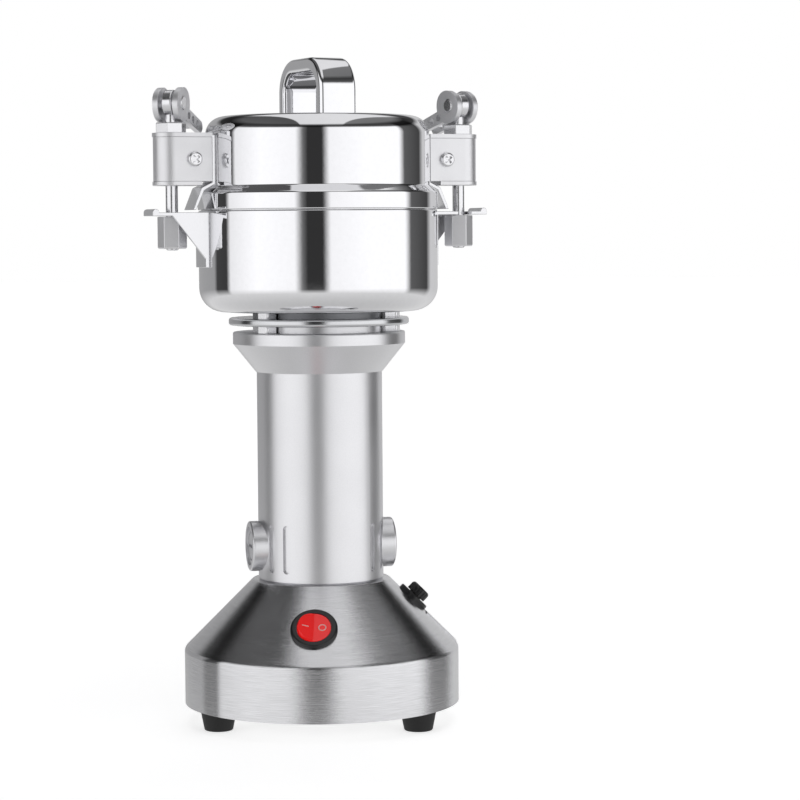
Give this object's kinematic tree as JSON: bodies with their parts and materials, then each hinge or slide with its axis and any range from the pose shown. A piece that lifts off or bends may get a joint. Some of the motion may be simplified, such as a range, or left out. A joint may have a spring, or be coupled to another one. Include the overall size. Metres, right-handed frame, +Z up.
{
  "type": "hammer mill",
  "caption": "Small upright grain grinder: clamped stainless lid and bowl with an arch handle, a silver motor column and a conical base with a rocker switch and rubber feet.",
  "frame": {"origin": "on the floor, under the middle of the machine, on the motor axis", "axes": "+Z up along the motor axis, -Y towards the switch at the front, +X to the right seen from the front"},
  "size_m": [0.168, 0.1376, 0.3311],
  "materials": {
    "polished_stainless": "mirror polished",
    "brushed_stainless": "circumferential brushing",
    "cast_silver_paint": "satin silver paint on cast aluminium",
    "turned_steel": "turned and ground",
    "zinc_plated_steel": "zinc plated fasteners",
    "black_plastic": "moulded, satin",
    "black_rubber": "moulded",
    "red_plastic": "translucent, gloss",
    "glass": "clear",
    "copper": "enamelled wire and bare segments",
    "brass": "drawn tube",
    "carbon": "pressed carbon",
    "lamination_steel": "stacked laminations",
    "silicone": "moulded white silicone",
    "fan_plastic": "moulded"
  },
  "bodies": {
    "root": {"base_plate": "zinc_plated_steel", "base_screws": "zinc_plated_steel", "base_skirt": "brushed_stainless", "bowl_spacer_ring": "turned_steel", "brush_caps": "cast_silver_paint", "brush_holders": "brass", "brush_springs": "zinc_plated_steel", "carbon_brushes": "carbon", "cord_gland": "black_plastic", "field_coils": "copper", "fork_brackets": "polished_stainless", "fuse_holder_body": "black_plastic", "grinding_bowl": "polished_stainless", "housing_screws": "zinc_plated_steel", "lower_bearing_bracket": "turned_steel", "motor_barrel": "cast_silver_paint", "panel_nuts": "zinc_plated_steel", "post_screws": "zinc_plated_steel", "rating_plate": "brushed_stainless", "rubber_feet": "black_rubber", "shaft_bearings": "turned_steel", "shaft_seal": "black_rubber", "spacer_disc": "turned_steel", "spacer_posts": "turned_steel", "stator_core": "lamination_steel", "switch_bezel": "black_plastic", "switch_terminals": "brass", "upper_housing": "cast_silver_paint"},
    "lid": {"lid_shell": "polished_stainless", "lid_handle": "polished_stainless", "handle_screws": "zinc_plated_steel", "lid_seal": "silicone", "lid_brackets": "polished_stainless", "clamp_blocks": "polished_stainless", "clamp_wraps": "polished_stainless", "clamp_screws": "polished_stainless", "thrust_blocks": "polished_stainless"},
    "rotor": {"motor_shaft": "turned_steel", "armature_core": "lamination_steel", "armature_windings": "copper", "commutator": "copper", "cooling_fan": "fan_plastic", "lower_blade": "brushed_stainless", "upper_blade": "brushed_stainless", "blade_spacers": "turned_steel", "blade_nut": "turned_steel"},
    "rocker": {"rocker": "red_plastic"},
    "fuse_carrier": {"fuse_carrier": "black_plastic", "glass_fuse": "glass"},
    "fuse_cap": {"fuse_cap": "black_plastic"},
    "left_bolt": {"left_eye_bolt": "polished_stainless", "left_lever_pin": "polished_stainless"},
    "left_lever": {"left_cam_lever": "polished_stainless"},
    "left_nut": {"left_clamp_nut": "polished_stainless"},
    "right_bolt": {"right_eye_bolt": "polished_stainless", "right_lever_pin": "polished_stainless"},
    "right_lever": {"right_cam_lever": "polished_stainless"},
    "right_nut": {"right_clamp_nut": "polished_stainless"}
  },
  "joints": [
    {"name": "lid_lift", "type": "slide", "parent": "root", "child": "lid", "axis": [0, 0, 1], "range_m": [0, 0.08]},
    {"name": "rotor_spin", "type": "hinge", "parent": "root", "child": "rotor", "pos_m": [0, 0, 0.1], "axis": [0, 0, 1], "continuous": true},
    {"name": "rocker_tilt", "type": "hinge", "parent": "root", "child": "rocker", "pos_m": [0, -0.05365, 0.05416], "axis": [0, -0.7071, -0.7071], "range_deg": [0, 22]},
    {"name": "fuse_draw", "type": "slide", "parent": "root", "child": "fuse_carrier", "axis": [0.6964, 0.1228, 0.7071], "range_m": [0, 0.03]},
    {"name": "fuse_cap_turn", "type": "hinge", "parent": "fuse_carrier", "child": "fuse_cap", "pos_m": [0.0453, 0.00799, 0.0604], "axis": [0.6964, 0.1228, 0.7071], "range_deg": [0, 90]},
    {"name": "left_bolt_drop", "type": "slide", "parent": "lid", "child": "left_bolt", "axis": [0, 0, -1], "range_m": [0, 0.002]},
    {"name": "left_lever_turn", "type": "hinge", "parent": "left_bolt", "child": "left_lever", "pos_m": [-0.06954, -0.02809, 0.3085], "axis": [0.9703, -0.2419, 0], "range_deg": [0, 150]},
    {"name": "left_nut_drop", "type": "slide", "parent": "root", "child": "left_nut", "axis": [0, 0, -1], "range_m": [0, 0.002]},
    {"name": "right_bolt_drop", "type": "slide", "parent": "lid", "child": "right_bolt", "axis": [0, 0, -1], "range_m": [0, 0.002]},
    {"name": "right_lever_turn", "type": "hinge", "parent": "right_bolt", "child": "right_lever", "pos_m": [0.06954, 0.02809, 0.3085], "axis": [0.766, 0.6428, 0], "range_deg": [0, 150]},
    {"name": "right_nut_drop", "type": "slide", "parent": "root", "child": "right_nut", "axis": [0, 0, -1], "range_m": [0, 0.002]}
  ],
  "couplings": [
    {"joint": "left_lever_turn", "follows": "left_bolt_drop", "rad_per_m": 1309},
    {"joint": "left_nut_drop", "follows": "left_bolt_drop", "ratio": 1},
    {"joint": "right_lever_turn", "follows": "right_bolt_drop", "rad_per_m": 1309},
    {"joint": "right_nut_drop", "follows": "right_bolt_drop", "ratio": 1}
  ]
}
